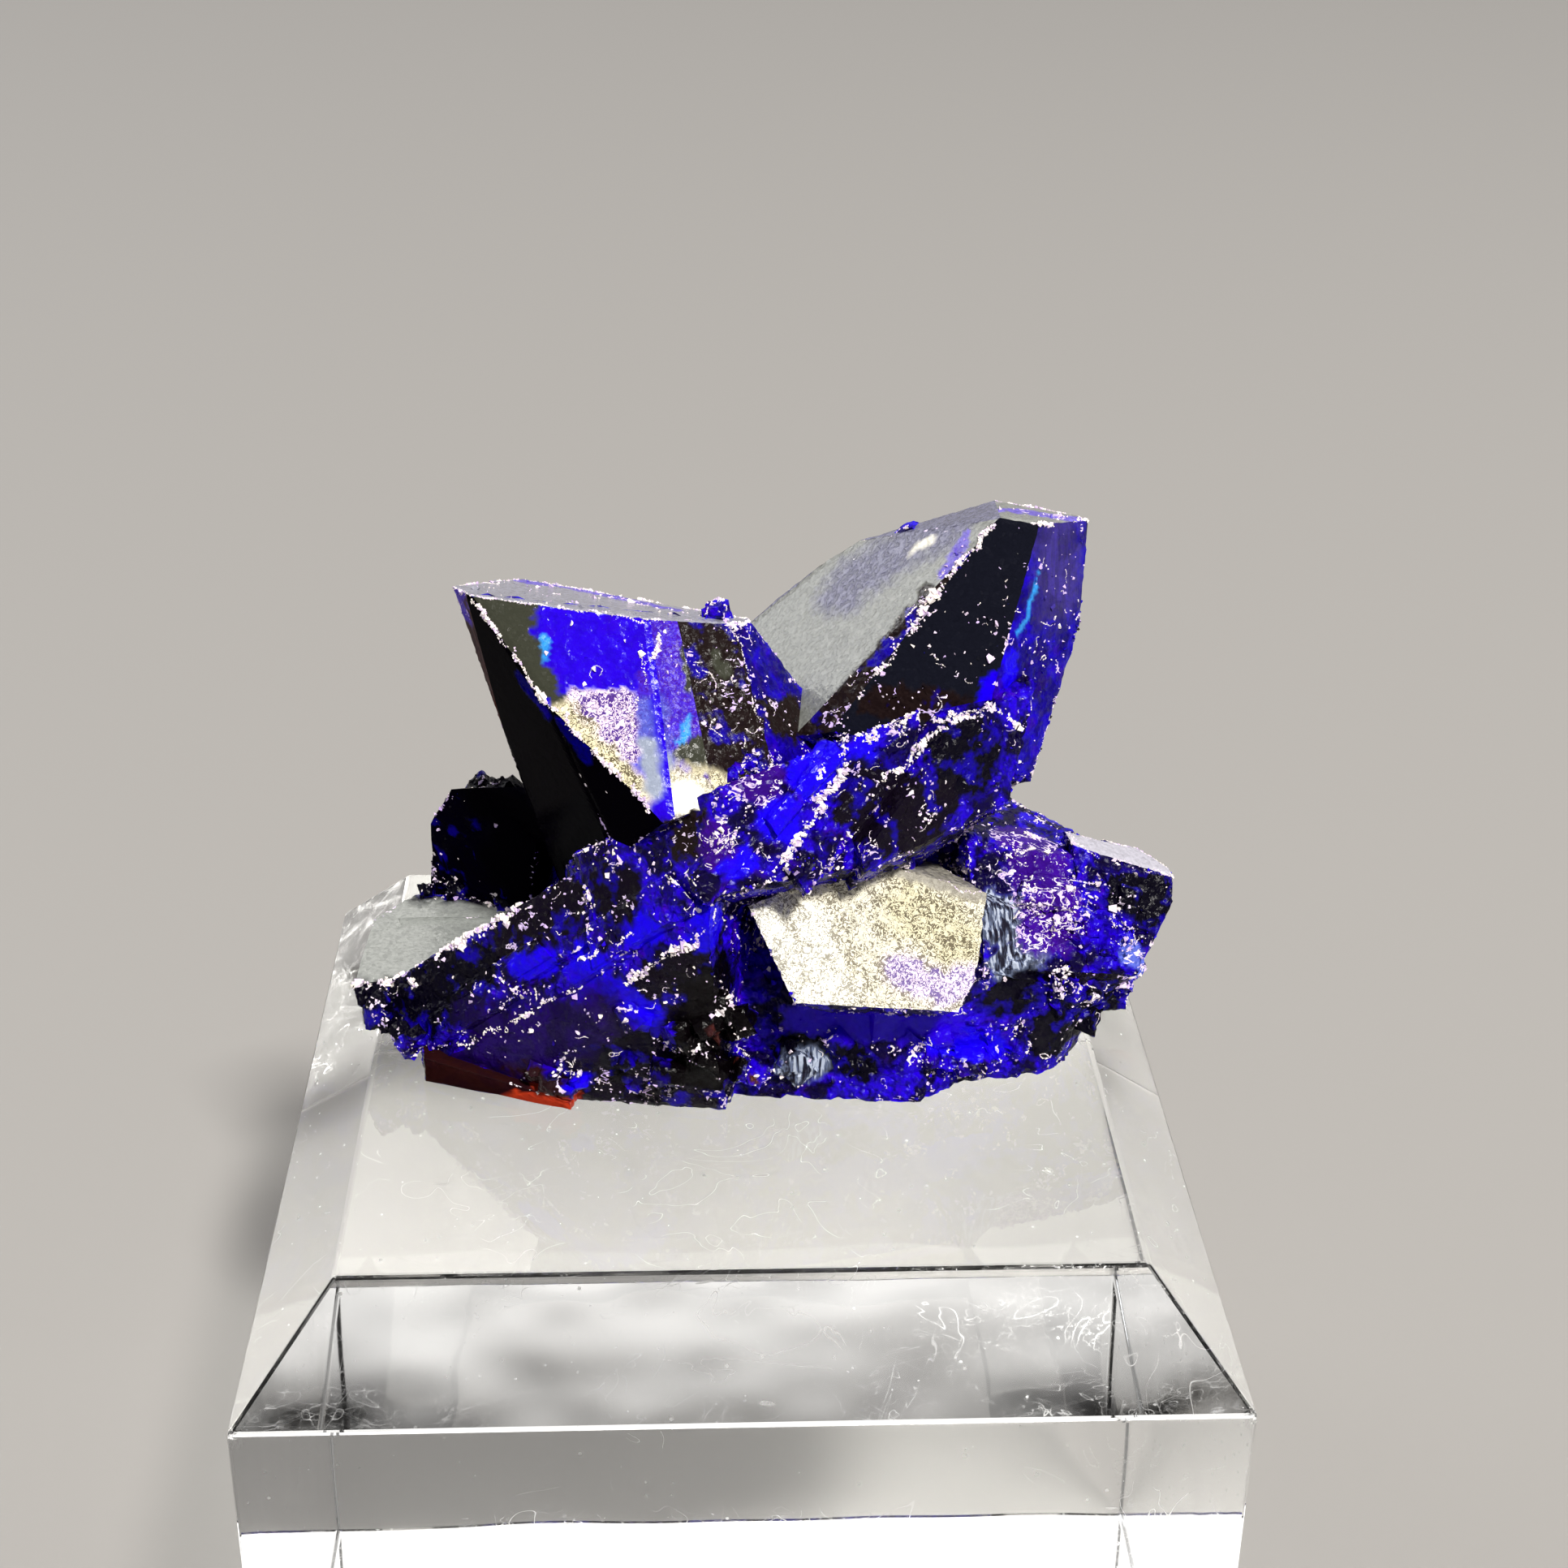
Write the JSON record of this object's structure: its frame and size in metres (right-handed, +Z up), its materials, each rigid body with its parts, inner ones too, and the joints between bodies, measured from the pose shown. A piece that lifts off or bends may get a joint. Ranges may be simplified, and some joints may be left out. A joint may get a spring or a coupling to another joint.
{
  "type": "azurite crystal specimen on a display block",
  "caption": "Cluster of deep blue azurite crystals, two upright blades over a crossing crystal, resting on a clear bevelled display block.",
  "frame": {"origin": "centre of the display block's underside", "axes": "+Z up, +X to the right and -Y towards the viewer, who sees the wide faces of both blades"},
  "size_m": [0.0508, 0.0508, 0.0695],
  "materials": {
    "azurite": "vitreous deep blue crystal, flat lustrous faces with etched and striated ones between",
    "clear_acrylic": "clear polished acrylic with fine scratches"
  },
  "bodies": {
    "root": {"azurite_cluster": "azurite", "acrylic_display_block": "clear_acrylic"}
  },
  "joints": []
}
